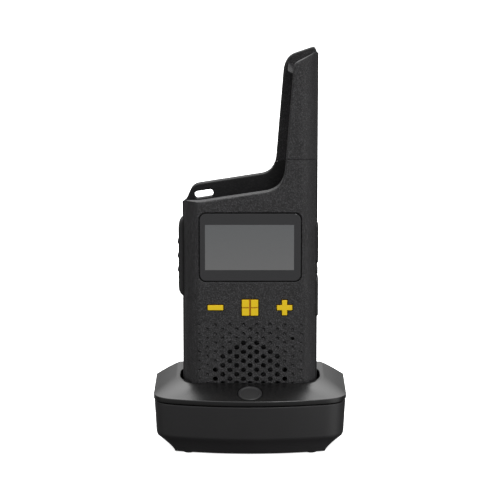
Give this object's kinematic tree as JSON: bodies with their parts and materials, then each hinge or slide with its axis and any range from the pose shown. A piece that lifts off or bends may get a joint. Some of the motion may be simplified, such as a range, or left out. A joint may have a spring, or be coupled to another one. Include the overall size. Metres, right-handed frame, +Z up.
{
  "type": "two-way radio",
  "caption": "Handheld two-way radio standing in a desktop charging dock, with a side talk bar, front keys, belt clip and opening battery door.",
  "frame": {"origin": "on the desk under the middle of the bounding box of radio and dock", "axes": "+Z up, +X to the right seen from the front, +Y towards the back; the display faces -Y"},
  "size_m": [0.0798, 0.052, 0.1652],
  "materials": {
    "housing": "fine spark-eroded texture",
    "rear_housing": "fine matte texture",
    "antenna_rubber": "fine spark-eroded texture",
    "dock_plastic": "smooth satin",
    "dock_base_plastic": "satin, slightly duller than the cover",
    "window": "glossy, tinted",
    "display": "reflective liquid-crystal panel",
    "key": "satin yellow",
    "rubber": "matt black",
    "steel": "plated",
    "contact_metal": "gold plated",
    "circuit_board": "solder-resist green",
    "black_plastic": "moulded",
    "cell_jacket": "shrink sleeve",
    "white_plastic": "moulded",
    "cone_paper": "pressed"
  },
  "bodies": {
    "dock": {"dock_cover": "dock_plastic", "dock_base": "dock_base_plastic", "dock_foot_front_left": "rubber", "dock_foot_front_right": "rubber", "dock_foot_rear_left": "rubber", "dock_foot_rear_right": "rubber", "dock_screw_front_left": "steel", "dock_screw_front_right": "steel", "dock_screw_rear_left": "steel", "dock_screw_rear_right": "steel", "badge_disc": "dock_plastic", "dock_circuit_board": "circuit_board", "dock_power_socket": "steel", "charge_contact_block": "black_plastic"},
    "charge_pin_left": {"charge_pin_left": "contact_metal"},
    "charge_pin_right": {"charge_pin_right": "contact_metal"},
    "radio": {"front_housing": "housing", "rear_housing": "rear_housing", "antenna_sleeve": "antenna_rubber", "antenna_core": "white_plastic", "antenna_coil": "contact_metal", "display_window": "window", "display_panel": "display", "display_backlight": "white_plastic", "keypad_mat": "rubber", "speaker_basket": "black_plastic", "speaker_cone": "cone_paper", "speaker_magnet": "steel", "microphone": "rubber", "main_circuit_board": "circuit_board", "radio_shield_can": "steel", "ptt_switch": "black_plastic", "accessory_jack": "black_plastic", "usb_socket": "steel", "port_cover_anchor": "rubber", "belt_clip_bracket": "rear_housing", "belt_clip_pin": "steel", "belt_clip_spring": "steel", "battery_cell_lower": "cell_jacket", "battery_cell_middle": "cell_jacket", "battery_cell_upper": "cell_jacket", "charge_pad_left": "contact_metal", "charge_pad_right": "contact_metal", "battery_contact_left": "steel", "battery_contact_right": "steel", "tray_screw_left": "steel", "tray_screw_right": "steel", "lower_screw_left": "steel", "lower_screw_right": "steel"},
    "key_minus": {"key_minus": "key"},
    "key_menu": {"key_menu": "key"},
    "key_plus": {"key_plus": "key"},
    "talk_bar": {"ptt_button": "rubber"},
    "accessory_port_flap": {"accessory_port_flap": "rubber"},
    "usb_port_flap": {"usb_port_flap": "rubber"},
    "belt_clip": {"belt_clip": "rear_housing"},
    "battery_door": {"battery_door": "rear_housing"},
    "battery_door_latch": {"battery_door_latch": "rubber"}
  },
  "joints": [
    {"name": "radio_lift", "type": "slide", "parent": "dock", "child": "radio", "axis": [0, 0, 1], "range_m": [0, 0.06]},
    {"name": "charge_pin_left_press", "type": "slide", "parent": "dock", "child": "charge_pin_left", "axis": [0, 0, -1], "range_m": [0, 0.0015], "stiffness_N_per_m": 200, "springref_m": -0.0005},
    {"name": "charge_pin_right_press", "type": "slide", "parent": "dock", "child": "charge_pin_right", "axis": [0, 0, -1], "range_m": [0, 0.0015], "stiffness_N_per_m": 200, "springref_m": -0.0005},
    {"name": "key_minus_press", "type": "slide", "parent": "radio", "child": "key_minus", "axis": [0, 1, 0], "range_m": [0, 0.0008], "stiffness_N_per_m": 800, "springref_m": -0.0003},
    {"name": "key_menu_press", "type": "slide", "parent": "radio", "child": "key_menu", "axis": [0, 1, 0], "range_m": [0, 0.0008], "stiffness_N_per_m": 800, "springref_m": -0.0003},
    {"name": "key_plus_press", "type": "slide", "parent": "radio", "child": "key_plus", "axis": [0, 1, 0], "range_m": [0, 0.0008], "stiffness_N_per_m": 800, "springref_m": -0.0003},
    {"name": "talk_bar_press", "type": "slide", "parent": "radio", "child": "talk_bar", "axis": [1, 0, 0], "range_m": [0, 0.0008], "stiffness_N_per_m": 1000, "springref_m": -0.0005},
    {"name": "accessory_port_flap_hinge", "type": "hinge", "parent": "radio", "child": "accessory_port_flap", "pos_m": [0.0276, 0.0012, 0.0757], "axis": [0, 1, 0], "range_deg": [0, 90]},
    {"name": "usb_port_flap_hinge", "type": "hinge", "parent": "radio", "child": "usb_port_flap", "pos_m": [0.0276, 0.0012, 0.0709], "axis": [0, -1, 0], "range_deg": [0, 90]},
    {"name": "belt_clip_hinge", "type": "hinge", "parent": "radio", "child": "belt_clip", "pos_m": [0, 0.0206, 0.0915], "axis": [1, 0, 0], "range_deg": [0, 20], "stiffness_Nm_per_rad": 0.2, "springref_deg": -5.73},
    {"name": "battery_door_hinge", "type": "hinge", "parent": "radio", "child": "battery_door", "pos_m": [0, 0.0161, 0.031], "axis": [-1, 0, 0], "range_deg": [0, 95]},
    {"name": "battery_door_latch_slide", "type": "slide", "parent": "battery_door", "child": "battery_door_latch", "axis": [0, 0, -1], "range_m": [0, 0.0016], "stiffness_N_per_m": 100, "springref_m": -0.001}
  ]
}
